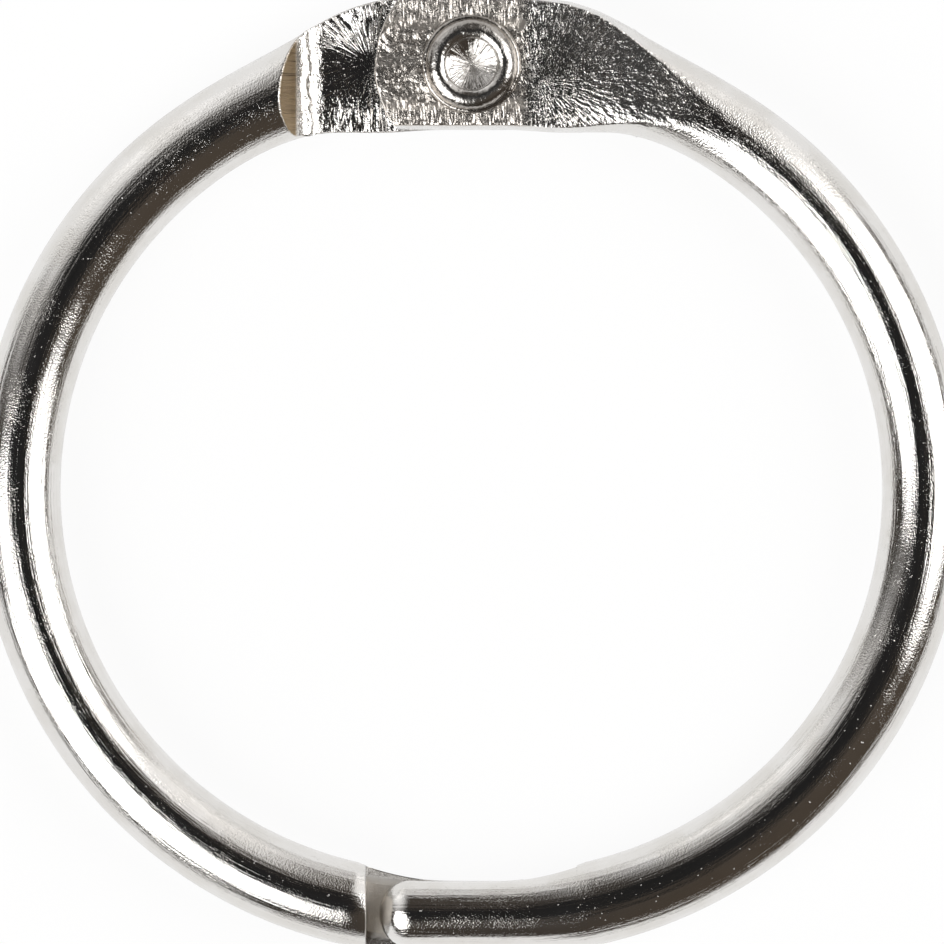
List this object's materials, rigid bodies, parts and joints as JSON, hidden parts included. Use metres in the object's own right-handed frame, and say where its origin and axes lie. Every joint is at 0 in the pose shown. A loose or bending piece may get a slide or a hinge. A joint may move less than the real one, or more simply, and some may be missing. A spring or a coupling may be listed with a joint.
{
  "type": "hinged binder ring",
  "caption": "Loose-leaf binder ring of bright plated steel wire: half rings riveted at flat hinge paddles and snapped together by hooked half-lap tongues.",
  "frame": {"origin": "below the middle of the ring's outline, on the surface that the ring lies on", "axes": "+Z out of the front, the side of the rivet's rolled head; +Y from the clasp to the hinge; +X across the ring towards the half whose paddle and tongue lie in front"},
  "size_m": [0.0306, 0.0295, 0.0029],
  "materials": {
    "plated_wire": "bright nickel plate over drawn steel wire",
    "plated_rivet": "bright nickel plate over a steel rivet with a punched, rolled head"
  },
  "bodies": {
    "left_half": {"left_half": "plated_wire"},
    "hinge_rivet": {"hinge_rivet": "plated_rivet"},
    "right_half": {"right_half": "plated_wire"}
  },
  "joints": [
    {"name": "clasp_release", "type": "hinge", "parent": "left_half", "child": "hinge_rivet", "pos_m": [0, 0.01263, 0.00147], "axis": [-1, 0, 0], "range_deg": [0, 1.4], "stiffness_Nm_per_rad": 0.05},
    {"name": "ring_hinge", "type": "hinge", "parent": "hinge_rivet", "child": "right_half", "pos_m": [0, 0.01263, 0.00147], "axis": [0, 0, 1], "range_deg": [0, 145]}
  ]
}
